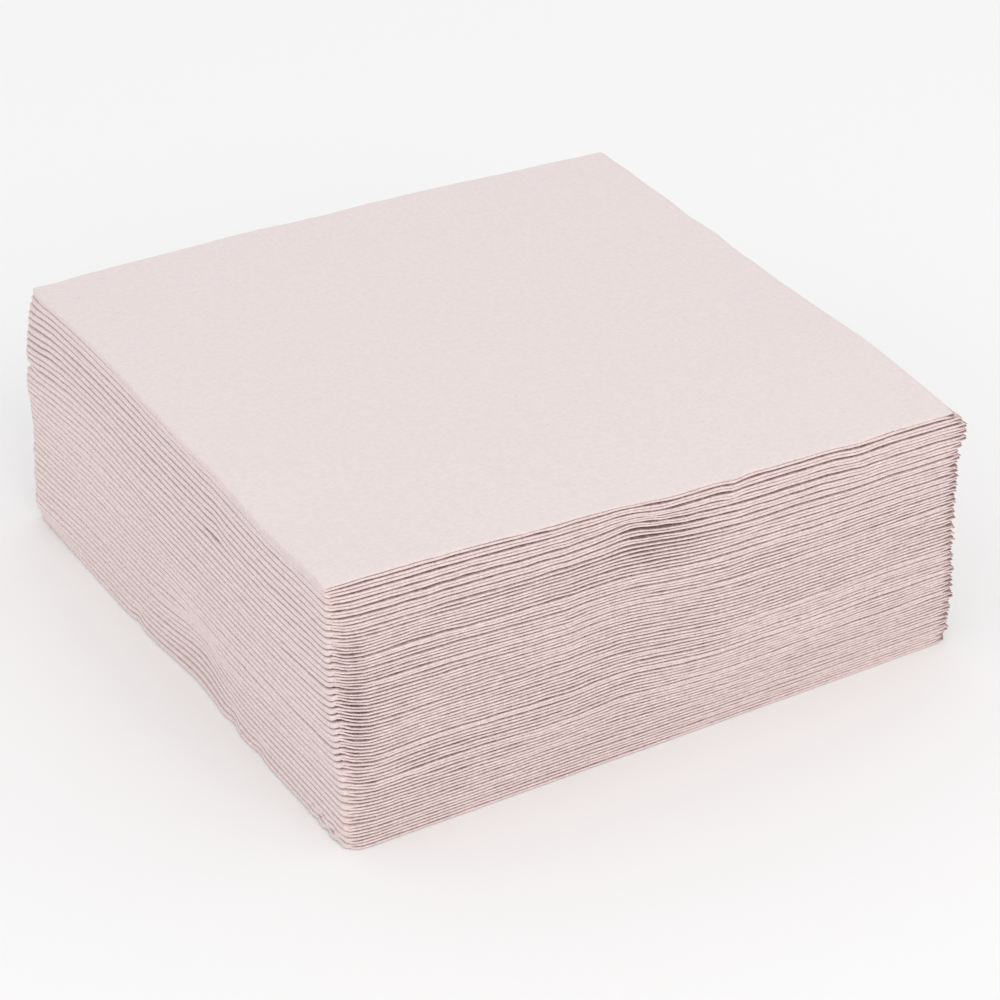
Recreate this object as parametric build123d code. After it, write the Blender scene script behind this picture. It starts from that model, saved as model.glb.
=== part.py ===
from build123d import *
import os
from math import atan, cos, degrees, pi, sin, sqrt
from random import Random

# One napkin: a square sheet of soft three-ply paper, folded in half and in half again (mm)
sheet_side = 330.0          # opened sheet
sheet_thickness = 0.322     # the three plies together
leaf_gap = 0.05             # air between the two layers that the first fold joins
fold_gap = 0.08             # air between the two leaves that the second fold joins
front_crease_nose = 0.14    # flat left at the tip of the first, sharply pressed crease
wrap_crease_nose = 0.50     # flat left at the tip of the second, rounder crease

# The stack
napkin_count = 40
rest_gap = 0.03             # air between two napkins at the cut corner, where they lie closest
front_rise = 0.12           # how much further apart they lie along the first crease
left_rise = 0.065           # how much further apart they lie along the second crease
loose_gap = 0.40            # further air between the two topmost napkins, where nothing presses
loose_count = 14            # napkins over which the stack loosens towards its top

# How unevenly the napkins lie on each other
stack_turn = -1.90          # turn of the stack from its bottom to its top, in degrees, mostly high up
right_lean = 1.2            # lean of the stack to the right, from its bottom to its top
back_lean = 1.45            # lean of the stack to the back
side_drift = 0.25           # slow sway of the stack, left and right
front_drift = 0.25          # slow sway of the stack, front and back
drift_run = 30              # napkins in one full sway
scatter = 0.35              # each napkin's own slip off the one below, at most
twist = 0.22                # each napkin's own turn, at most, in degrees
scatter_seed = 33           # fixes the slips and turns

# What follows from these
folded_side = sheet_side / 2
leaf_height = 2 * sheet_thickness + leaf_gap
napkin_height = 2 * leaf_height + fold_gap
front_bevel = (leaf_height - front_crease_nose) / 2
wrap_bevel = (napkin_height - wrap_crease_nose) / 2
left = -folded_side / 2
right = folded_side / 2
front = -folded_side / 2
back = folded_side / 2


def section(y, *points):
    """A closed outline, seen from the front, in the upright plane at this distance to the back."""
    return Plane.XZ.offset(-y) * make_face(Polyline(*points, close=True))


def bevel_at(inset):
    """The second crease's bevel on an outline that is set in from the napkin's outer skin."""
    return wrap_bevel - inset * (2 - sqrt(2))


def wrap_section(y, inset=0):
    """The leaf wrapped round the second fold, set in from its outer skin."""
    bevel = bevel_at(inset)
    low = inset
    high = napkin_height - inset
    tip = left + inset
    return section(
        y,
        (right, low),
        (tip + bevel, low),
        (tip, low + bevel),
        (tip, high - bevel),
        (tip + bevel, high),
        (right, high),
    )


def leaf_space(y, widened=0):
    """The thin space between the two leaves, closed at the second fold only."""
    closed_end = left + leaf_height - widened
    low = leaf_height - widened
    high = leaf_height + fold_gap + widened
    return section(y, (closed_end, low), (right, low), (right, high), (closed_end, high))


def paper_taken_up(inset):
    """Paper that the second fold takes from a layer at this depth, counted from the napkin's tip."""
    bevel = bevel_at(inset)
    upright = napkin_height - 2 * inset - 2 * bevel
    round_the_tip = upright + 2 * sqrt(2) * bevel
    return round_the_tip - 2 * (inset + bevel)


def cut_edge_step():
    """The outer layer takes the longer way round the second fold, so its cut edge stops short."""
    outer_layer = sheet_thickness / 2
    inner_layer = outer_layer + leaf_gap + sheet_thickness
    return (paper_taken_up(outer_layer) - paper_taken_up(inner_layer)) / 2


def fold_napkin():
    """One napkin, resting on z = 0: first fold along the front, second fold along the left."""
    crease_start = front + front_bevel
    plain_run = folded_side - front_bevel

    # both leaves with the second fold, and the first crease pressed to a blunt tip along the front
    leaf = extrude(wrap_section(back), amount=plain_run)
    leaf += loft([wrap_section(crease_start), wrap_section(front, front_bevel)], ruled=True)

    # the space between the leaves, which opens at the front into the groove between two creases
    leaf -= extrude(leaf_space(back), amount=plain_run)
    leaf -= loft([leaf_space(crease_start), leaf_space(front, front_bevel)], ruled=True)

    # the space between the two layers of a leaf follows the wrap and stops at the first fold
    layer_space = wrap_section(back, sheet_thickness) - wrap_section(back, sheet_thickness + leaf_gap)
    leaf -= extrude(layer_space, amount=folded_side - sheet_thickness)

    # the outer layer's cut edge stands back from the inner layer's
    step = cut_edge_step()
    trim = Box(step, folded_side, sheet_thickness, align=(Align.MAX, Align.CENTER, Align.MIN))
    for low in (0, napkin_height - sheet_thickness):
        leaf -= Pos(right, 0, low) * trim
    return leaf


def gap_below(index):
    """Air under the middle of a napkin: even in the pressed part of the stack, wider in the loose top."""
    loose_from = napkin_count - loose_count
    looseness = max(0, index + 1 - loose_from) / loose_count
    return rest_gap + (front_rise + left_rise) / 2 + loose_gap * looseness**2


def lie(index, slips, height):
    """Where one napkin lies in the stack, tipped up at the creases by all the napkins under it."""
    climb = index / napkin_count
    sway = 2 * pi * index / drift_run
    across = right_lean * climb + side_drift * sin(sway) + scatter * slips.uniform(-1, 1)
    along = back_lean * climb + front_drift * cos(sway) + scatter * slips.uniform(-1, 1)
    turn = stack_turn * climb**2 + twist * slips.uniform(-1, 1)
    front_tip = degrees(atan(index * front_rise / folded_side))
    left_tip = degrees(atan(index * left_rise / folded_side))
    return Pos(across, along, height) * Rot(-front_tip, left_tip, turn)


def stack_napkins():
    """All napkins from the bottom up, centred over the origin."""
    napkin = fold_napkin()
    slips = Random(scatter_seed)
    height = 0
    pile = []
    for index in range(napkin_count):
        if index > 0:
            height += napkin_height + gap_below(index)
        pile.append(lie(index, slips, height) * napkin)
    boxes = [placed.bounding_box() for placed in pile]
    middle_x = (min(box.min.X for box in boxes) + max(box.max.X for box in boxes)) / 2
    middle_y = (min(box.min.Y for box in boxes) + max(box.max.Y for box in boxes)) / 2
    return [Pos(-middle_x, -middle_y, 0) * placed for placed in pile]


os.makedirs("parts", exist_ok=True)
for number, napkin in enumerate(stack_napkins(), start=1):
    export_step(napkin, f"parts/napkin_{number:02d}.step")
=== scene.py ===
import math
from collections import namedtuple

import bmesh
import bpy
import numpy as np
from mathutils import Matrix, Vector


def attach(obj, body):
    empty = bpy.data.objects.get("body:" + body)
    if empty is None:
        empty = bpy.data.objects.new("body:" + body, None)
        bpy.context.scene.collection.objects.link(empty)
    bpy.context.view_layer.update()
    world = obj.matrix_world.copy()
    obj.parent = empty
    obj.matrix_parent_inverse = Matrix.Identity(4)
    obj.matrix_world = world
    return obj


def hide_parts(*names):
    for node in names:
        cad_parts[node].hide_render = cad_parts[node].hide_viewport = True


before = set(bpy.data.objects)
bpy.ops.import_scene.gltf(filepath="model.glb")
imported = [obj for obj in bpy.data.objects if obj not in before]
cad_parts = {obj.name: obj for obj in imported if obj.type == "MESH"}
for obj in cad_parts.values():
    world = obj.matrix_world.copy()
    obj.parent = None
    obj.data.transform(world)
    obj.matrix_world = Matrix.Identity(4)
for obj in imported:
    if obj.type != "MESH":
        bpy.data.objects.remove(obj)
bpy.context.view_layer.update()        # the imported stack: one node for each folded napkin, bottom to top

napkin_nodes = sorted(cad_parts)
napkin_count = len(napkin_nodes)
top_index = napkin_count - 1
MM = 0.001

# One folded sheet, in millimetres, as the solids have it
SHEET_SIDE = 330.0
SHEET_THICKNESS = 0.322
LEAF_GAP = 0.05             # air between the two layers that the first fold joins
FOLD_GAP = 0.08             # air between the two leaves that the second fold joins
FOLDED_SIDE = SHEET_SIDE / 2
LAYER_STEP = SHEET_THICKNESS + LEAF_GAP
LEAF_HEIGHT = SHEET_THICKNESS + LAYER_STEP
LEAF_STEP = LEAF_HEIGHT + FOLD_GAP
NAPKIN_HEIGHT = LEAF_HEIGHT + LEAF_STEP
HALF = FOLDED_SIDE / 2
FIRST_SQUARENESS = 0.7      # 1 is a round crease, less is a flatter, pressed one
SECOND_SQUARENESS = 0.65
CREEP_RUN = 20.0            # length over which the layers slide past each other behind the second fold

# Where a sheet's mesh is fine, in millimetres from a fold or a cut edge
BEND_PARTS = 2              # mesh steps in each quarter turn of a fold
NEAR_FOLD = (1.0, 1.7, 2.6, 3.7, 5.2, 7.2, 10.0)
NEAR_CUT = (3.0, 1.0, 0.0)
CREASE_STRIP = 2.0
CUT_STRIP = 3.1
PLAIN_STEP = 12.0           # in the middle of a napkin that lies in the stack
TOP_STEP = 4.5              # in the middle of the topmost one
CREASE_STEP = 1.8           # along a crease
CUT_STEP = 4.2              # along a cut edge
LONG_EDGE = 0.7             # share of a plain step above which an edge is cut further
ROUNDING = 1e-4             # slack when mesh places are compared
SMOOTH_ANGLE = 50           # in degrees, up to which faces are shaded as one

# Colours of the paper, the shade painted into its grooves, and the light on it
FLAT_TONES = (0.795, 0.704, 0.699, 1), (0.845, 0.754, 0.749, 1)     # darker and lighter
CREASE_TONES = (0.78, 0.63, 0.61, 1), (0.94, 0.785, 0.77, 1)
SPECK_TONE = (0.6, 0.5, 0.49, 1)
# painted shade for the insides of the grooves between folds
GROOVE_SHADE_TONE = (0.38, 0.26, 0.245, 1)
FLOOR_TONE = (0.96, 0.96, 0.96, 1)
FLOOR_SIZE = 6
FLOOR_GAP = 0.0002          # keeps the floor just clear of the lowest napkin
ROOM_TONE = (1, 1, 1, 1)
ROOM_LIGHT = 0.9

# Camera, from the stack's corners and edges in the photograph
CAMERA_AZIMUTH = -30.67
CAMERA_ELEVATION = 32.0
CAMERA_DISTANCE = 0.8645
CAMERA_LENS = 129.0
CAMERA_SENSOR = 36.0
CAMERA_TARGET = (-0.00484, -0.0171, 0.0325)


# Meshing one sheet

def stations(bend, plain_step):
    """Mesh lines across half a sheet, from the middle of a fold to the cut edge."""
    half = [bend * part / BEND_PARTS for part in range(BEND_PARTS + 1)]
    half += NEAR_FOLD
    far = SHEET_SIDE / 2 - NEAR_CUT[0]
    plain = round((far - half[-1]) / plain_step)
    half += list(np.linspace(half[-1], far, plain + 1)[1:])
    half += [SHEET_SIDE / 2 - inset for inset in NEAR_CUT[1:]]
    return np.array([-place for place in half[:0:-1]] + half)


def select_only(obj):
    bpy.ops.object.select_all(action="DESELECT")
    obj.select_set(True)
    bpy.context.view_layer.objects.active = obj


def refine(obj, wanted, cuts):
    """Cuts the wanted edges, and the faces between them, into shorter pieces."""
    select_only(obj)
    bpy.ops.object.mode_set(mode="EDIT")
    bpy.ops.mesh.select_mode(type="EDGE")
    bpy.ops.mesh.select_all(action="DESELECT")
    sheet_mesh = bmesh.from_edit_mesh(obj.data)
    for edge in sheet_mesh.edges:
        edge.select_set(wanted(edge.verts[0].co, edge.verts[1].co))
    bmesh.update_edit_mesh(obj.data)
    bpy.ops.mesh.subdivide(number_cuts=cuts, ngon=False)
    bpy.ops.object.mode_set(mode="OBJECT")


def along_fold(across, closest, farthest, shortest):
    """Chooses the long edges that run beside a fold or a cut edge, by their distance from it."""
    along = 1 - across

    def wanted(start, end):
        if abs(start[across] - end[across]) > ROUNDING:
            return False
        if abs(start[along] - end[along]) < shortest:
            return False
        return closest - ROUNDING <= abs(start[across]) <= farthest + ROUNDING
    return wanted


def squared(turn, squareness):
    """A fold's turn, pressed flatter than a round one."""
    return np.sign(turn) * np.abs(turn) ** squareness


def ease(share):
    """Goes from 0 to 1 smoothly."""
    share = np.clip(share, 0, 1)
    return share * share * (3 - 2 * share)


def fold(flat):
    """Folds points of the flat sheet in half towards the front, then in half towards the left."""
    across, along, off = flat.T

    first_radius = LAYER_STEP / 2
    first_bend = first_radius * math.pi / 2
    first_turn = np.clip(along / first_bend, -1, 1) * math.pi / 2
    reach = first_radius + off
    depth = reach * squared(np.sin(first_turn), FIRST_SQUARENESS)
    y = -HALF + LEAF_HEIGHT / 2 - reach * squared(np.cos(first_turn), FIRST_SQUARENESS)
    y += np.maximum(np.abs(along) - first_bend, 0)

    second_radius = LEAF_STEP / 2
    second_bend = second_radius * math.pi / 2
    second_turn = np.clip(across / second_bend, -1, 1) * math.pi / 2
    past_bend = np.maximum(np.abs(across) - second_bend, 0)
    reach = second_radius - depth
    creep = depth * math.pi / 2 * ease(past_bend / CREEP_RUN)
    x = -HALF + NAPKIN_HEIGHT / 2 - reach * squared(np.cos(second_turn), SECOND_SQUARENESS)
    x += past_bend + creep
    z = NAPKIN_HEIGHT / 2 + reach * squared(np.sin(second_turn), SECOND_SQUARENESS)
    return np.stack([x, y, z], axis=1)


def vertices_of(mesh):
    places = np.empty(len(mesh.vertices) * 3)
    mesh.vertices.foreach_get("co", places)
    return places.reshape(-1, 3)


def set_vertices(mesh, places):
    mesh.vertices.foreach_set("co", np.ascontiguousarray(places, dtype=np.float32).ravel())
    mesh.update()


def folded_sheet(name, plain_step):
    """One napkin in millimetres: a flat sheet with its thickness, folded twice, resting on z = 0."""
    columns = stations(LEAF_STEP / 2 * math.pi / 2, plain_step)
    rows = stations(LAYER_STEP / 2 * math.pi / 2, plain_step)
    bpy.ops.object.select_all(action="DESELECT")
    bpy.ops.mesh.primitive_grid_add(
        x_subdivisions=len(columns) - 1, y_subdivisions=len(rows) - 1, size=SHEET_SIDE, calc_uvs=False
    )
    sheet = bpy.context.object
    sheet.name = name
    spread = np.zeros((len(rows), len(columns), 3))
    spread[:, :, 0] = columns[None, :]
    spread[:, :, 1] = rows[:, None]
    set_vertices(sheet.data, spread.reshape(-1, 3))

    cut_edge = SHEET_SIDE / 2
    shortest = plain_step * LONG_EDGE
    crease_cuts = round(plain_step / CREASE_STEP) - 1
    edge_cuts = round(plain_step / CUT_STEP) - 1
    for across in (0, 1):
        refine(sheet, along_fold(across, 0, CREASE_STRIP, shortest), crease_cuts)
        if edge_cuts > 0:
            refine(sheet, along_fold(across, cut_edge - CUT_STRIP, cut_edge, shortest), edge_cuts)

    thickness = sheet.modifiers.new("three_plies", "SOLIDIFY")
    thickness.thickness = SHEET_THICKNESS
    thickness.offset = 0
    select_only(sheet)
    bpy.ops.object.modifier_apply(modifier=thickness.name)
    set_vertices(sheet.data, fold(vertices_of(sheet.data)))

    bpy.ops.object.mode_set(mode="EDIT")
    bpy.ops.mesh.select_all(action="SELECT")
    bpy.ops.mesh.normals_make_consistent(inside=False)
    bpy.ops.object.mode_set(mode="OBJECT")
    bpy.ops.object.shade_smooth_by_angle(angle=math.radians(SMOOTH_ANGLE))
    return sheet


# How the stack has settled

Pucker = namedtuple("Pucker", "at spread lift first full top_share")
puckers = (
    # a swelling with open gaps in the first creases, and the kinks beside it
    Pucker(at=(-8.5, -HALF), spread=(4.0, 8.0), lift=1.1, first=30, full=35, top_share=0.1),
    Pucker(at=(-2.0, -HALF), spread=(4.5, 8.0), lift=0.6, first=30, full=35, top_share=0.1),
    Pucker(at=(1.0, -HALF), spread=(5.0, 6.0), lift=0.3, first=38, full=39, top_share=1.0),
    Pucker(at=(-2.0, -HALF), spread=(9.0, 10.0), lift=-1.5, first=35, full=39, top_share=1.0),
    Pucker(at=(20.3, -HALF), spread=(1.7, 5.0), lift=-0.7, first=36, full=39, top_share=1.0),
    Pucker(at=(54.5, -HALF), spread=(4.0, 8.0), lift=-0.6, first=29, full=38, top_share=1.0),
    Pucker(at=(-24.0, -HALF), spread=(2.2, 6.0), lift=-0.3, first=5, full=20, top_share=0.3),
    # slow waves low down in the first creases
    Pucker(at=(-60.0, -HALF), spread=(8.0, 9.0), lift=0.35, first=3, full=12, top_share=0.2),
    Pucker(at=(-32.0, -HALF), spread=(8.0, 9.0), lift=-0.45, first=3, full=12, top_share=0.2),
    Pucker(at=(-9.0, -HALF), spread=(7.0, 9.0), lift=0.4, first=3, full=12, top_share=0.2),
    # along the second creases it is fuller behind the middle, with one wider gap high up
    Pucker(at=(-HALF, 44.0), spread=(20.0, 17.0), lift=1.0, first=0, full=32, top_share=0.5),
    Pucker(at=(-HALF, -51.0), spread=(18.0, 15.0), lift=-1.2, first=0, full=32, top_share=0.9),
    Pucker(at=(-HALF, 0.0), spread=(30.0, 60.0), lift=0.8, first=26, full=39, top_share=1.0),
    Pucker(at=(-HALF, 0.0), spread=(9.0, 60.0), lift=0.2, first=29, full=30, top_share=0.3),
    Pucker(at=(-HALF, -24.0), spread=(4.0, 3.0), lift=0.7, first=29, full=30, top_share=0.1),
    # the corners
    Pucker(at=(HALF, -HALF), spread=(26.0, 20.0), lift=1.7, first=0, full=20, top_share=0.2),
    Pucker(at=(-HALF, HALF), spread=(7.0, 7.0), lift=-1.0, first=16, full=31, top_share=0.8),
    Pucker(at=(10.0 - HALF, HALF), spread=(20.0, 9.0), lift=-1.2, first=22, full=39, top_share=1.0),
    Pucker(at=(-HALF, -HALF), spread=(5.0, 5.0), lift=-0.5, first=20, full=39, top_share=1.0),
    Pucker(at=(-HALF, -HALF), spread=(5.0, 3.0), lift=0.9, first=5, full=14, top_share=0.1),
    Pucker(at=(HALF, HALF), spread=(9.0, 9.0), lift=-0.35, first=10, full=39, top_share=1.0),
    # the back edge bows up, and the cut edge on the right lies in waves
    Pucker(at=(0.0, HALF), spread=(45.0, 30.0), lift=0.6, first=20, full=39, top_share=1.0),
    Pucker(at=(HALF, -40.0), spread=(22.0, 14.0), lift=0.9, first=22, full=39, top_share=1.0),
    Pucker(at=(HALF, 16.0), spread=(7.0, 4.0), lift=-0.5, first=33, full=39, top_share=1.0),
    Pucker(at=(HALF, 38.0), spread=(7.0, 5.0), lift=-0.6, first=33, full=39, top_share=1.0),
    Pucker(at=(HALF, 61.0), spread=(7.0, 6.0), lift=-0.6, first=33, full=39, top_share=1.0),
)
# along the first creases the napkins are fuller on the left than on the right: how much, going up
FRONT_STEP = (-14.0, 22.0)
FULLER_LEFT = ((0, 20, 40), (0.0, 1.2, 0.9))
FLATTER_RIGHT = ((0, 18, 40), (0.0, -2.0, -0.4))
FRONT_REACH = 40.0

Dent = namedtuple("Dent", "along width depth napkin run")
dents = (
    # where the second creases are pushed in, or out, and over which napkins
    Dent(along=-5.0, width=15.0, depth=2.6, napkin=5, run=6.5),
    Dent(along=25.0, width=2.6, depth=0.8, napkin=0, run=3.5),
    Dent(along=-25.0, width=2.8, depth=0.8, napkin=0, run=3.5),
    Dent(along=-39.0, width=3.0, depth=0.6, napkin=0, run=3.0),
    Dent(along=84.0, width=24.0, depth=1.5, napkin=0, run=1.6),
    Dent(along=84.0, width=24.0, depth=-1.4, napkin=5, run=10.0),
    Dent(along=84.0, width=24.0, depth=-1.6, napkin=29, run=9.0),
    Dent(along=82.0, width=6.0, depth=0.9, napkin=39, run=1.6),
    Dent(along=82.0, width=6.0, depth=0.9, napkin=28, run=0.8),
)
FLUSH_LEFT, FLUSH_FRONT = 0.8, 0.6      # how far the creases were pushed into line
FLUSH_SPAN = 3              # napkins above and below that one is in line with
PARTED_NAPKIN = 29          # the one with a wider gap over it along the second creases
TOP_SKEWS = (-0.8, -0.25)   # how far the front of the topmost napkins has slipped to the left
UNDULATION = 0.75           # of the layers along the edges of the stack
UNDULATION_INSIDE = 0.12    # share of it that is left well inside
UNEVENNESS = 0.11           # of one napkin's own height along its edges
RIPPLES = 0.17              # of each layer, close to the edges
EDGE_REACH = 14.0           # how far in from the stack's edges the layers are uneven
FLAT_NAPKINS = 7            # the lowest ones, which the ground still keeps flat
TIGHT_SPARE = 0.24          # least air in a napkin's room, where the stack is tightest
LEAST_GAP = 0.20            # of it that lies between two napkins, before the paper swells

Wave = namedtuple("Wave", "across along phase drift size")
noise = np.random.default_rng(165)


def random_waves(count, shortest, longest, size, drift=0.0):
    """Gentle waves in random directions, which together never rise more than size."""
    waves = []
    for _ in range(count):
        turn = noise.uniform(0, 2 * math.pi)
        length = shortest * (longest / shortest) ** noise.uniform(0, 1)
        across = math.cos(turn) * 2 * math.pi / length
        along = math.sin(turn) * 2 * math.pi / length
        phase = noise.uniform(0, 2 * math.pi)
        waves.append(Wave(across, along, phase, drift * noise.uniform(-1, 1), size / count))
    return waves


def wave_height(waves, x, y, step=0):
    """Height of the waves, each moved on by its own drift for every step."""
    total = np.zeros_like(x)
    for wave in waves:
        total += wave.size * np.cos(wave.across * x + wave.along * y + wave.phase + wave.drift * step)
    return total


def pucker_height(index, x, y):
    """How far the puckers have lifted what lies under napkin number index."""
    total = np.zeros_like(x)
    for pucker in puckers:
        share = min(max((index - pucker.first) / (pucker.full - pucker.first), 0), 1)
        past_full = max(index - pucker.full, 0) / (napkin_count + 1 - pucker.full)
        share += (pucker.top_share - 1) * past_full
        off_x = (x - pucker.at[0]) / pucker.spread[0]
        off_y = (y - pucker.at[1]) / pucker.spread[1]
        total += pucker.lift * share * np.exp(-(off_x ** 2 + off_y ** 2) / 2)
    return total


def bump(place, middle, width):
    """1 at the middle, falling off smoothly on both sides."""
    return np.exp(-((place - middle) / width) ** 2)


def near(distance, reach):
    """1 at a crease or an edge, falling off smoothly away from it."""
    return bump(distance, 0, reach)


def fade(distance, reach):
    """1 at a crease or an edge, falling off fast at first and slowly then."""
    return np.exp(-distance / reach)


# What differs from napkin to napkin, from the bottom to the top
UPPER_FROM, TOPMOST_FROM = 27, 32       # above these the second folds lie closed more often
CLOSED_OPENING = 0.12       # share of the spare air that stays in a closed fold

layer_waves = random_waves(count=14, shortest=22, longest=150, size=UNDULATION, drift=0.45)
own_waves = [random_waves(count=7, shortest=10, longest=60, size=UNEVENNESS) for _ in napkin_nodes]
fold_waves = [random_waves(count=6, shortest=8, longest=60, size=1.0) for _ in napkin_nodes]
# the second fold joins the two leaves at the left, so there only the lower leaf's waves count
reach_waves = {
    (leaf, side): [random_waves(count=6, shortest=9, longest=80, size=0.5) for _ in napkin_nodes]
    for leaf in ("lower", "upper") for side in ("front", "left")
}
places_in_stack = np.arange(napkin_count)
closed_chance = np.where(places_in_stack > UPPER_FROM, 0.4, 0.12)
closed_chance = np.where(places_in_stack > TOPMOST_FROM, 0.8, closed_chance)
folds_closed = noise.uniform(0, 1, napkin_count) < closed_chance
fold_openings = np.where(folds_closed, CLOSED_OPENING, noise.uniform(0.4, 0.56, napkin_count))
layer_offsets = noise.uniform(-0.05, 0.05, napkin_count + 1)
fine_waves = [random_waves(count=6, shortest=3.8, longest=9, size=0.15) for _ in napkin_nodes]
# the open mouths beside the folded corner
mouth_sizes = noise.uniform(0.55, 1.0, napkin_count)
mouth_sizes[-8:] *= 0.2
mouth_sizes *= np.interp(places_in_stack, (6, 13), (0.2, 1.0))
# how far the first creases stand back at the folded corner
corner_setbacks = noise.uniform(2.1, 2.8, napkin_count)
corner_setbacks *= np.interp(places_in_stack, (0, 3, 8, 14), (0.1, 0.4, 0.55, 1.0))
corner_setbacks[-9:] = (1.7, 1.4, 1.2, 1.0, 0.9, 0.8, 0.7, 0.6, 0.25)
# how far the leaves have slipped, at the front and at their right ends
leaf_slips = noise.uniform(-0.2, 0.2, (napkin_count, 2))
end_slips = noise.uniform(-0.5, 0.5, (napkin_count, 2))
end_slips[-7:] = np.array([-0.5, 0.5, 1.4, 1.6, 1.4, 0.3, -1.5])[:, None]
# rounding and opening of the right ends, rounding of the folded corner, and the width of its seam
end_rounding = np.interp(places_in_stack, (0, 3), (2.0, 0.5))
end_openings = np.interp(places_in_stack, (31, 34), (0.38, 0.22))
end_openings[[4, 11, 26]] = (0.5, 0.7, 0.5)
front_rounding = np.interp(places_in_stack, (0, 3, 8, 33, 38), (4.5, 2.0, 4.0, 4.0, 0.7))
seam_widths = np.interp(places_in_stack, (3, 8, 33, 38), (0.9, 1.7, 1.7, 0.9))
# strength of the painted shade in the line between two second creases
painted_line_shades = noise.uniform(0.55, 1.15, napkin_count)
painted_line_shades[29:37] += 0.35
layer_ripples = [
    random_waves(count=5, shortest=5, longest=15, size=RIPPLES) for _ in range(napkin_count + 1)
]
left_rounding = np.where(
    places_in_stack > FLAT_NAPKINS, noise.uniform(0.8, 1.6, napkin_count), 2.0
)


def edge_share(x, y):
    """1 along the edges of the stack, 0 well inside it."""
    from_edge = HALF - np.maximum(np.abs(x), np.abs(y))
    return fade(from_edge, EDGE_REACH)


def layer_lift(index, x, y):
    """How far a napkin's underside lies off the plane that its solid rests on."""
    settled = min(1, index / FLAT_NAPKINS)
    share = UNDULATION_INSIDE + (1 - UNDULATION_INSIDE) * edge_share(x, y)
    lift = settled * share * (wave_height(layer_waves, x, y, index) + layer_offsets[index])
    lift += settled * edge_share(x, y) ** 3 * wave_height(layer_ripples[index], x, y)
    rightwards = ease((x - FRONT_STEP[0]) / (FRONT_STEP[1] - FRONT_STEP[0]))
    front_lift = np.interp(index, *FULLER_LEFT) * (1 - rightwards)
    front_lift += np.interp(index, *FLATTER_RIGHT) * rightwards
    lift += front_lift * fade(y + HALF, FRONT_REACH)
    return lift + pucker_height(index, x, y)


def round_corner(x, y, corner, radius):
    """Places in a napkin's own frame, with one of its corners rounded."""
    side_x, side_y = corner
    inwards_x = HALF - side_x * x
    inwards_y = HALF - side_y * y
    past_x = np.maximum(radius - inwards_x, 0)
    past_y = np.maximum(radius - inwards_y, 0)
    pulled_in = 1 - np.maximum(past_x, past_y) / np.maximum(np.hypot(past_x, past_y), 1e-9)
    both = (past_x > 0) & (past_y > 0)
    pulled_in = np.where(both, pulled_in, 0)
    return x - side_x * past_x * pulled_in, y - side_y * past_y * pulled_in


SETBACK_RUN = 8.0           # along a first crease
SETBACK_REACH = 5.0         # in from it
NICK_SHARE, NICK_AT, NICK_WIDTH = 0.16, 1.9, 0.9


def corner_setback(from_left, depth):
    """How far a first crease stands back at the folded corner, nicked where the second fold ends."""
    nick = NICK_SHARE * depth * bump(from_left, NICK_AT, NICK_WIDTH)
    return depth * (1 - ease(from_left / SETBACK_RUN)) + nick


FOLDED_CORNER, LEFT_CORNER, RIGHT_CORNER = (-1, -1), (-1, 1), (1, -1)
Lie = namedtuple("Lie", "middle turn right_slope back_slope")


def lie_of(node):
    """Middle, turn and slopes of a napkin's solid, in millimetres and radians."""
    corners = vertices_of(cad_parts[node].data) / MM
    back_left = corners[np.argmax(corners[:, 1] - corners[:, 0])]
    back_right = corners[np.argmax(corners[:, 1] + corners[:, 0])]
    turn = math.atan2(back_right[1] - back_left[1], back_right[0] - back_left[0])
    middle = (corners.min(axis=0) + corners.max(axis=0)) / 2
    plane = np.column_stack([corners[:, :2] - middle[:2], np.ones(len(corners))])
    (slope_x, slope_y, middle_z), *_ = np.linalg.lstsq(plane, corners[:, 2], rcond=None)
    right_slope = slope_x * math.cos(turn) + slope_y * math.sin(turn)
    back_slope = slope_y * math.cos(turn) - slope_x * math.sin(turn)
    return Lie((middle[0], middle[1], middle_z), turn, right_slope, back_slope)


def plane_height(lie, x, y):
    """Height of the underside of a napkin's solid, at places in its own frame."""
    return lie.middle[2] - NAPKIN_HEIGHT / 2 + lie.right_slope * x + lie.back_slope * y


Spots = namedtuple("Spots", "x y z from_left to_right from_front upper beside_left towards_back")
LEFT_STRIP, LEFT_STRIP_START = 5.0, 3.0     # the strip along the second creases, clear of the first
BACK_START, BACK_RUN = -10.0, 70.0          # where the change towards the back begins, and its length


def spots_of(places):
    """The points of a napkin in its own frame, and where they lie from its creases and edges."""
    x, y, z = places.T
    from_left, from_front = x + HALF, y + HALF
    return Spots(
        x, y, z, from_left, to_right=HALF - x, from_front=from_front, upper=z > NAPKIN_HEIGHT / 2,
        beside_left=near(from_left, LEFT_STRIP) * (1 - near(from_front, LEFT_STRIP_START)),
        towards_back=ease((y - BACK_START) / BACK_RUN),
    )


# Reaches, runs and widths in millimetres. A run goes along a first crease, a reach goes in from it
Pinches = namedtuple("Pinches", "front left end mouth seam loosened")
FRONT_PINCH_REACH, LEFT_PINCH_REACH = 1.3, 0.9
END_RUN, END_REACH = 3.2, 4.0
MOUTH_AT, MOUTH_WIDTH, MOUTH_REACH = 5.2, 2.3, 3.0
SEAM_RUN, SEAM_REACH = 1.4, 2.5
LOOSE_AT, LOOSE_WIDTH, LOOSE_REACH = 0.0, 11.0, 6.0
LOOSE_NAPKIN, LOOSE_NAPKINS = 34, 4.0       # the loosest one, and how many on each side follow it


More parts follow.
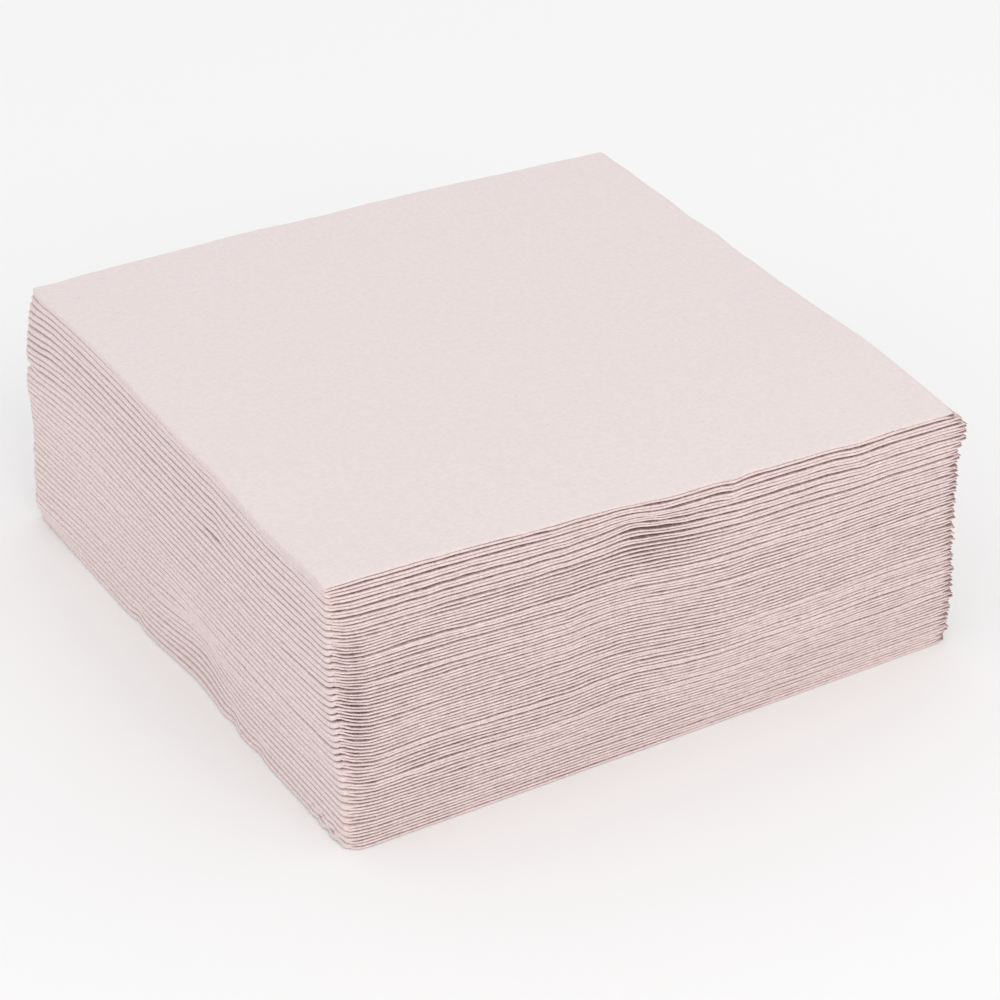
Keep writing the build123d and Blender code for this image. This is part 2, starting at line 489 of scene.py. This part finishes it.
def pinches_of(index, spots):
    """How much each point belongs to the places where a napkin is pressed together or open."""
    mouth = mouth_sizes[index] * bump(spots.from_left, MOUTH_AT, MOUTH_WIDTH)
    seam = 1 - ease((spots.from_left - seam_widths[index]) / SEAM_RUN)
    loosened = bump(spots.x, LOOSE_AT, LOOSE_WIDTH) * bump(index, LOOSE_NAPKIN, LOOSE_NAPKINS)
    return Pinches(
        front=near(spots.from_front, FRONT_PINCH_REACH),
        left=near(spots.from_left, LEFT_PINCH_REACH),
        end=ease(1 - spots.to_right / END_RUN) * near(spots.from_front, END_REACH),
        mouth=mouth * near(spots.from_front, MOUTH_REACH),
        seam=near(spots.from_front, SEAM_REACH) * seam,
        loosened=loosened * near(spots.from_front, LOOSE_REACH),
    )


# Shares by which the paper is thinner than in the middle of a napkin
FRONT_THINNED, LEFT_THINNED = 0.2, 0.03
MOUTH_THINNED, LOOSE_THINNED = 0.3, 0.18
# Shares of the spare air that lie between the two leaves
OPENING_WAVES = 0.2
OPENING_RANGE = (0.06, 0.9)
CLOSED_RIGHT, CLOSED_RIGHT_RUN = 0.7, 30.0      # upper napkins lie closed to the right of the middle
MOUTH_OPENING, END_OPENING = 0.75, 0.85
END_OPENING_GAIN = 2.4
# A gap that is wider than this is partly taken up by the paper, which is soft and swells
WIDE_GAP = 0.29
LEFT_NARROWED, BACK_NARROWED = 0.15, 0.6        # along the second creases, and more at the back
SWOLLEN_GAP = 0.8           # share of LEAST_GAP that swollen paper leaves in any case
SWELLING, LEFT_SWELLING, BACK_SWELLING = 0.6, 0.25, 0.1
PARTED_AT, PARTED_WIDTH = -22.0, 6.0


def heights_of(index, spots, pinches, skew, lies):
    """Heights of a napkin's points, and the gaps that they face."""
    x, y, z = spots.x, spots.y, spots.z

    # what lies below it, and the room it has
    lower = min(index, top_index - 1)
    pitch = plane_height(lies[lower + 1], x, y) - plane_height(lies[lower], x, y)
    lift = layer_lift(index, x + skew, y)
    room = pitch + layer_lift(index + 1, x + skew, y) - lift

    # the paper is pressed thin at its creases and soft at its cut ends
    own = wave_height(own_waves[index], x, y) + wave_height(fine_waves[index], x, y)
    own *= edge_share(x, y)
    paper = 2 * LEAF_HEIGHT * (1 + own)
    paper *= 1 - FRONT_THINNED * pinches.front * (1 - pinches.left) - LEFT_THINNED * pinches.left
    paper *= 1 - MOUTH_THINNED * pinches.mouth - end_openings[index] * pinches.end
    paper *= 1 - LOOSE_THINNED * pinches.loosened
    paper = np.minimum(paper, room - TIGHT_SPARE)
    spare = room - paper

    # the air that is left lies between its two leaves and between it and the next napkin
    opened = fold_openings[index] + OPENING_WAVES * wave_height(fold_waves[index], x, y)
    if index > UPPER_FROM:
        opened *= 1 - CLOSED_RIGHT * ease(x / CLOSED_RIGHT_RUN)
    mouth = np.minimum(pinches.mouth, 1)
    opened += (MOUTH_OPENING - opened) * mouth
    opened += (END_OPENING - opened) * pinches.end * min(1, END_OPENING_GAIN * end_openings[index])
    opened += (CLOSED_OPENING - opened) * np.maximum(pinches.left, pinches.seam)
    between = np.minimum(spare * np.clip(opened, *OPENING_RANGE), spare - LEAST_GAP)

    # where that gap is wide, the paper swells
    narrowed = LEFT_NARROWED * spots.beside_left * (1 + BACK_NARROWED * spots.towards_back)
    wide = np.maximum(WIDE_GAP - narrowed, SWOLLEN_GAP * LEAST_GAP)
    taken_up = SWELLING + spots.beside_left * (LEFT_SWELLING + BACK_SWELLING * spots.towards_back)
    swelling = taken_up * np.maximum(spare - between - wide, 0)
    swelling *= (1 - pinches.end) * (1 - mouth) * (1 - pinches.loosened)
    if index == PARTED_NAPKIN:
        swelling *= 1 - spots.beside_left * bump(y, PARTED_AT, PARTED_WIDTH)
    paper += swelling

    fold_below = np.clip((z - LEAF_HEIGHT) / FOLD_GAP, 0, 1)
    paper_below = (z - fold_below * FOLD_GAP) / (2 * LEAF_HEIGHT)
    height = plane_height(lies[index], x, y) + lift + paper * paper_below + between * fold_below
    return height, np.where(spots.upper, spare - between - swelling, between)


LEAVES_JOINED = 8.0         # how far from the second crease the two leaves still move together
FRONT_UNTRUE, LEFT_UNTRUE = 0.4, 0.3        # shares of the waves that the creases show
CREASE_REACH = 9.0          # how far in a crease that isn't straight takes the paper along
FLUSH_REACH = 12.0          # and one that was pushed into line
SLIP_RUN, SLIP_REACH = 10.0, 22.0           # of the slipped right ends, inwards and backwards
BLUNTER, BLUNTER_REACH = 0.8, 0.8           # second creases are blunter towards the back
# the lowest napkins are crumpled a little beside the folded corner
CRUMPLE, CRUMPLE_LENGTH, CRUMPLE_TURN = 0.5, 5.2, 1.7
CRUMPLE_AT, CRUMPLE_WIDTH = 9 - HALF, 8.0
CRUMPLE_NAPKIN, CRUMPLE_NAPKINS = 0.5, 1.6  # the middle of the crumpled ones, and how many follow it


def shifts_of(index, spots, skew, lies):
    """How far creases that aren't straight and corners that aren't square move a napkin's points."""
    x, y = spots.x, spots.y
    front_low = wave_height(reach_waves["lower", "front"][index], x, 0 * y) + leaf_slips[index, 0]
    front_high = wave_height(reach_waves["upper", "front"][index], x, 0 * y) + leaf_slips[index, 1]
    leaf_apart = 1 - fade(spots.from_left, LEAVES_JOINED)
    front_reach = front_low + np.where(spots.upper, leaf_apart * (front_high - front_low), 0)
    left_reach = LEFT_UNTRUE * wave_height(reach_waves["lower", "left"][index], 0 * x, y)
    for dent in dents:
        left_reach += dent.depth * bump(index, dent.napkin, dent.run) * bump(y, dent.along, dent.width)
    crumpled = bump(index, CRUMPLE_NAPKIN, CRUMPLE_NAPKINS) * bump(y, CRUMPLE_AT, CRUMPLE_WIDTH)
    left_reach += CRUMPLE * crumpled * np.cos(2 * math.pi * y / CRUMPLE_LENGTH + CRUMPLE_TURN * index)
    slip = np.where(spots.upper, end_slips[index, 1], end_slips[index, 0])

    own_lie = lies[index]
    in_line = lies[max(0, index - FLUSH_SPAN):index + FLUSH_SPAN + 1]
    into_line_x = np.mean([lie.middle[0] for lie in in_line]) - own_lie.middle[0]
    into_line_y = np.mean([lie.middle[1] for lie in in_line]) - own_lie.middle[1]
    turned = np.mean([lie.turn for lie in in_line]) - own_lie.turn

    shift_x = left_reach * fade(spots.from_left, CREASE_REACH)
    shift_x -= BLUNTER * spots.towards_back * spots.from_left * fade(spots.from_left, BLUNTER_REACH)
    shift_x += slip * fade(spots.to_right, SLIP_RUN) * fade(spots.from_front, SLIP_REACH)
    shift_x += FLUSH_LEFT * (into_line_x - turned * y) * fade(spots.from_left, FLUSH_REACH)
    shift_x += skew
    setback = corner_setback(spots.from_left, corner_setbacks[index])
    shift_y = FRONT_UNTRUE * front_reach * fade(spots.from_front, CREASE_REACH)
    shift_y += FLUSH_FRONT * (into_line_y + turned * x) * fade(spots.from_front, FLUSH_REACH)
    shift_y += setback * fade(spots.from_front, SETBACK_REACH)
    return shift_x, shift_y


# Painted shade: inside the grooves between creases the paper's colour is darkened, standing in for the
# shade there
CREASED_REACH, LEFT_CREASED = 3.0, 0.5      # the colour is less changed along the second creases
CREASE_TIP = 0.04           # outermost part of a crease, which is never inside a groove
FRONT_GROOVE_RUN, LEFT_GROOVE_RUN = 0.3, 0.6    # from the tip of a crease to where it is darkest
NARROW_GROOVE_SHADE = 0.5        # strength of the painted shade in a narrow groove, where a wide one has 1
NARROW_GAP, GAP_RANGE = 0.2, 0.5            # in millimetres, from a narrow gap to a wide one
LEFT_GROOVE = 0.55          # strength of the painted shade in the grooves between second creases
# the painted groove shade fades in the lowest napkins to the right, and towards the back of the second
# creases
LOW_NAPKINS, LOW_FADING, LOW_START, LOW_RUN = 5, 0.6, 20.0, 40.0
BACK_FADING, LOWER_FADING = 0.5, 0.42
LOWER_UNDER, LOWER_NAPKINS = 31, 4          # below this one they fade more, and over how many
PARTED_DEEPER, PARTED_START, PARTED_RUN = 1.2, -28.0, 4.0
CUT_RUN = 0.8               # the painted groove shade ends just inside a cut edge
OPEN_END = 4.0              # but not in the lower leaf, this close to a first crease
SEAM_PALER = 0.5
TIP_GAIN, TIP_RUN, TIP_REACH = 5, 0.9, 3.0      # painted shade for the dark tips inside the open right ends
INNER_MARGIN = 0.01


def shades_of(index, spots, pinches, gap):
    """How close each point is to a crease, and how far inside a groove, where shade is painted into the
    colour.
    """
    from_left, to_right, from_front = spots.from_left, spots.to_right, spots.from_front
    along_front, along_left = near(from_front, CREASED_REACH), near(from_left, CREASED_REACH)
    creased = np.maximum(along_front, LEFT_CREASED * along_left)

    depth = NARROW_GROOVE_SHADE + (1 - NARROW_GROOVE_SHADE) * np.clip((gap - NARROW_GAP) / GAP_RANGE, 0, 1)
    front_groove = depth * ease((from_front - CREASE_TIP) / FRONT_GROOVE_RUN)
    low = LOW_FADING * ease(1 - index / LOW_NAPKINS)
    front_groove *= 1 - low * ease((spots.x - LOW_START) / LOW_RUN)
    past_left_tip = ease((from_left - CREASE_TIP) / LEFT_GROOVE_RUN)
    left_groove = LEFT_GROOVE * past_left_tip
    fading = BACK_FADING + LOWER_FADING * ease((LOWER_UNDER - index) / LOWER_NAPKINS)
    left_groove *= painted_line_shades[index] * (1 - spots.towards_back * fading)
    if index == PARTED_NAPKIN:
        left_groove *= 1 + PARTED_DEEPER * ease((spots.y - PARTED_START) / PARTED_RUN)

    ends_inside = spots.upper | (from_front > OPEN_END)
    from_cut = np.where(ends_inside, np.minimum(to_right, HALF - spots.y), CUT_RUN)
    # painted groove shade, taken from the nearer crease
    painted_groove_shade = np.where(from_left < from_front, left_groove, front_groove)
    painted_groove_shade = np.minimum(painted_groove_shade, np.minimum(front_groove, past_left_tip))
    painted_groove_shade *= ease(from_cut / CUT_RUN)
    painted_groove_shade *= 1 - SEAM_PALER * pinches.seam
    from_middle = np.abs(spots.z - NAPKIN_HEIGHT / 2)
    inside = from_middle < FOLD_GAP / 2 + SHEET_THICKNESS + INNER_MARGIN
    # painted shade on the inner surfaces at the open right ends
    tips = min(1, TIP_GAIN * end_openings[index]) * ease(1 - to_right / TIP_RUN)
    painted_groove_shade = np.maximum(painted_groove_shade, np.where(inside, tips * near(from_front, TIP_REACH), 0))
    if index == top_index:
        outside = ease((NAPKIN_HEIGHT - spots.z) / SHEET_THICKNESS)
        creased *= outside
        painted_groove_shade *= outside
    return {"creased": creased, "painted_groove_shade": painted_groove_shade}


def settle(index, places, lies):
    """Moves one folded napkin, given in its own frame, to where it lies in the settled stack."""
    spots = spots_of(places)
    pinches = pinches_of(index, spots)
    from_top = top_index - index
    skew = 0 * spots.x
    if from_top < len(TOP_SKEWS):
        skew = TOP_SKEWS[from_top] * (1 - spots.from_front / FOLDED_SIDE)
    height, gap = heights_of(index, spots, pinches, skew, lies)
    shift_x, shift_y = shifts_of(index, spots, skew, lies)
    x, y = round_corner(spots.x, spots.y, FOLDED_CORNER, front_rounding[index])
    x, y = round_corner(x, y, LEFT_CORNER, left_rounding[index])
    x, y = round_corner(x, y, RIGHT_CORNER, end_rounding[index])
    settled = np.stack([x + shift_x, y + shift_y, height], axis=1)
    return settled, shades_of(index, spots, pinches, gap)


def dress(node, pattern, settled, shades, lie):
    """Makes the finished napkin that stands for one solid."""
    x = lie.middle[0] + settled[:, 0] * math.cos(lie.turn) - settled[:, 1] * math.sin(lie.turn)
    y = lie.middle[1] + settled[:, 0] * math.sin(lie.turn) + settled[:, 1] * math.cos(lie.turn)
    mesh = pattern.data.copy()
    mesh.name = f"folded_{node}"
    set_vertices(mesh, np.stack([x, y, settled[:, 2]], axis=1) * MM)
    for name, amounts in shades.items():
        shade = mesh.attributes.new(name, "FLOAT", "POINT")
        shade.data.foreach_set("value", np.ascontiguousarray(amounts, dtype=np.float32))
    piece = bpy.data.objects.new(f"folded_{node}", mesh)
    bpy.context.scene.collection.objects.link(piece)
    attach(piece, "root")
    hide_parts(node)
    return piece


def stack_up():
    """Folds a sheet, copies it for each napkin and settles each in its place."""
    pattern = folded_sheet("napkin_pattern", PLAIN_STEP)
    top_pattern = folded_sheet("top_napkin_pattern", TOP_STEP)
    lies = [lie_of(node) for node in napkin_nodes]
    pieces = []
    for index, node in enumerate(napkin_nodes):
        sheet = pattern if index < top_index else top_pattern
        settled, shades = settle(index, vertices_of(sheet.data), lies)
        pieces.append(dress(node, sheet, settled, shades, lies[index]))
    bpy.data.objects.remove(pattern)
    bpy.data.objects.remove(top_pattern)
    return pieces


# Paper

def paper_grain():
    """A shader group: the crepe and fibres of soft tissue."""
    group = bpy.data.node_groups.new("tissue_grain", "ShaderNodeTree")
    group.interface.new_socket("Vector", in_out="INPUT", socket_type="NodeSocketVector")
    group.interface.new_socket("Mottle", in_out="OUTPUT", socket_type="NodeSocketFloat")
    group.interface.new_socket("Relief", in_out="OUTPUT", socket_type="NodeSocketFloat")
    group.interface.new_socket("Unrest", in_out="OUTPUT", socket_type="NodeSocketFloat")
    group.interface.new_socket("Specks", in_out="OUTPUT", socket_type="NodeSocketFloat")
    nodes, links = group.nodes, group.links
    start = nodes.new("NodeGroupInput")
    end = nodes.new("NodeGroupOutput")

    stretch = nodes.new("ShaderNodeMapping")
    stretch.inputs["Scale"].default_value = (0.45, 1.0, 1.0)
    links.new(start.outputs["Vector"], stretch.inputs["Vector"])
    crepe = nodes.new("ShaderNodeTexNoise")
    crepe.inputs["Scale"].default_value = 2200
    crepe.inputs["Detail"].default_value = 3
    links.new(stretch.outputs["Vector"], crepe.inputs["Vector"])
    fibres = nodes.new("ShaderNodeTexNoise")
    fibres.inputs["Scale"].default_value = 900
    fibres.inputs["Detail"].default_value = 5
    fibres.inputs["Roughness"].default_value = 0.7
    links.new(start.outputs["Vector"], fibres.inputs["Vector"])

    relief = nodes.new("ShaderNodeMath")
    relief.operation = "ADD"
    links.new(crepe.outputs["Fac"], relief.inputs[0])
    links.new(fibres.outputs["Fac"], relief.inputs[1])
    links.new(relief.outputs[0], end.inputs["Relief"])
    links.new(fibres.outputs["Fac"], end.inputs["Mottle"])

    # how unevenly the painted groove shade and the crease relief are laid on
    unrest = nodes.new("ShaderNodeTexNoise")
    unrest.inputs["Scale"].default_value = 800
    unrest.inputs["Detail"].default_value = 4
    unrest.inputs["Roughness"].default_value = 0.75
    links.new(start.outputs["Vector"], unrest.inputs["Vector"])
    uneven = nodes.new("ShaderNodeMapRange")
    uneven.inputs["From Min"].default_value = 0.33
    uneven.inputs["From Max"].default_value = 0.67
    uneven.inputs["To Min"].default_value = 0.3
    uneven.inputs["To Max"].default_value = 1.5
    links.new(unrest.outputs["Fac"], uneven.inputs["Value"])
    links.new(uneven.outputs["Result"], end.inputs["Unrest"])

    pinholes = nodes.new("ShaderNodeTexVoronoi")
    pinholes.inputs["Scale"].default_value = 220
    links.new(start.outputs["Vector"], pinholes.inputs["Vector"])
    specks = nodes.new("ShaderNodeMapRange")
    specks.inputs["From Min"].default_value = 0.03
    specks.inputs["From Max"].default_value = 0.07
    specks.inputs["To Min"].default_value = 0.5
    specks.inputs["To Max"].default_value = 0.0
    links.new(pinholes.outputs["Distance"], specks.inputs["Value"])
    links.new(specks.outputs["Result"], end.inputs["Specks"])
    return group


def blush_tissue():
    """Pale blush-pink tissue paper, matte and faintly fuzzy, with shade painted into its colour inside the
    grooves.
    """
    material = bpy.data.materials.new("blush_tissue")
    material.use_nodes = True
    nodes, links = material.node_tree.nodes, material.node_tree.links
    shader = nodes["Principled BSDF"]
    shader.inputs["Roughness"].default_value = 0.95
    shader.inputs["Specular IOR Level"].default_value = 0.1

    place = nodes.new("ShaderNodeTexCoord")
    grain = nodes.new("ShaderNodeGroup")
    grain.node_tree = paper_grain()
    links.new(place.outputs["Object"], grain.inputs["Vector"])

    def mottled(darker, lighter):
        ramp = nodes.new("ShaderNodeValToRGB")
        ramp.color_ramp.elements[0].position = 0.36
        ramp.color_ramp.elements[0].color = darker
        ramp.color_ramp.elements[1].position = 0.64
        ramp.color_ramp.elements[1].color = lighter
        links.new(grain.outputs["Mottle"], ramp.inputs["Fac"])
        return ramp.outputs["Color"]

    def mixed(tone, amount):
        mix = nodes.new("ShaderNodeMix")
        mix.data_type = "RGBA"
        links.new(amount, mix.inputs["Factor"])
        links.new(tone, mix.inputs["A"])
        return mix

    creased = nodes.new("ShaderNodeAttribute")
    creased.attribute_name = "creased"
    # painted shade in the grooves, made uneven by the grain's Unrest noise
    painted_groove_shade = nodes.new("ShaderNodeAttribute")
    painted_groove_shade.attribute_name = "painted_groove_shade"
    uneven = nodes.new("ShaderNodeMath")
    uneven.operation = "MULTIPLY"
    uneven.use_clamp = True
    links.new(painted_groove_shade.outputs["Fac"], uneven.inputs[0])
    links.new(grain.outputs["Unrest"], uneven.inputs[1])
    flat_tone = mottled(*FLAT_TONES)
    crease_tone = mottled(*CREASE_TONES)
    specked = mixed(flat_tone, grain.outputs["Specks"])
    specked.inputs["B"].default_value = SPECK_TONE
    pressed = mixed(specked.outputs["Result"], creased.outputs["Fac"])
    links.new(crease_tone, pressed.inputs["B"])
    # darkens the colour towards the painted groove shade
    groove_shaded = mixed(pressed.outputs["Result"], uneven.outputs[0])
    groove_shaded.inputs["B"].default_value = GROOVE_SHADE_TONE
    links.new(groove_shaded.outputs["Result"], shader.inputs["Base Color"])
    relief = nodes.new("ShaderNodeBump")
    relief.inputs["Strength"].default_value = 0.2
    relief.inputs["Distance"].default_value = 0.00004
    links.new(grain.outputs["Relief"], relief.inputs["Height"])
    unrest = nodes.new("ShaderNodeBump")
    unrest.inputs["Distance"].default_value = 0.00008
    links.new(creased.outputs["Fac"], unrest.inputs["Strength"])
    links.new(grain.outputs["Unrest"], unrest.inputs["Height"])
    links.new(relief.outputs["Normal"], unrest.inputs["Normal"])
    links.new(unrest.outputs["Normal"], shader.inputs["Normal"])
    return material


# Studio

def pale_floor():
    bpy.ops.object.select_all(action="DESELECT")
    bpy.ops.mesh.primitive_plane_add(size=FLOOR_SIZE, location=(0, 0, -FLOOR_GAP))
    floor = bpy.context.object
    floor.name = "pale_floor"
    material = bpy.data.materials.new("pale_floor")
    material.use_nodes = True
    shader = material.node_tree.nodes["Principled BSDF"]
    shader.inputs["Base Color"].default_value = FLOOR_TONE
    shader.inputs["Roughness"].default_value = 0.95
    shader.inputs["Specular IOR Level"].default_value = 0.0
    floor.data.materials.append(material)


def soft_light(name, place, target, size, power):
    lamp = bpy.data.lights.new(name, "AREA")
    lamp.size = size
    lamp.energy = power
    light = bpy.data.objects.new(name, lamp)
    light.location = place
    light.rotation_euler = (Vector(target) - Vector(place)).to_track_quat("-Z", "Y").to_euler()
    bpy.context.scene.collection.objects.link(light)


def studio():
    pale_floor()
    world = bpy.data.worlds.new("soft_room")
    world.use_nodes = True
    background = world.node_tree.nodes["Background"]
    background.inputs["Color"].default_value = ROOM_TONE
    background.inputs["Strength"].default_value = ROOM_LIGHT
    bpy.context.scene.world = world
    soft_light("front_softbox", place=(-0.08, -1.0, 0.84), target=(0, 0, 0.03), size=0.8, power=2.85)
    bpy.context.scene.view_settings.view_transform = "Standard"


def camera():
    azimuth = math.radians(CAMERA_AZIMUTH)
    elevation = math.radians(CAMERA_ELEVATION)
    target = Vector(CAMERA_TARGET)
    back = Vector((
        math.sin(azimuth) * math.cos(elevation),
        -math.cos(azimuth) * math.cos(elevation),
        math.sin(elevation),
    ))
    lens = bpy.data.cameras.new("photo_view")
    lens.lens = CAMERA_LENS
    lens.sensor_width = CAMERA_SENSOR
    viewer = bpy.data.objects.new("photo_view", lens)
    viewer.location = target + back * CAMERA_DISTANCE
    viewer.rotation_euler = (-back).to_track_quat("-Z", "Y").to_euler()
    bpy.context.scene.collection.objects.link(viewer)
    bpy.context.scene.camera = viewer


napkins = stack_up()
tissue = blush_tissue()
for napkin in napkins:
    napkin.data.materials.clear()
    napkin.data.materials.append(tissue)
studio()
camera()
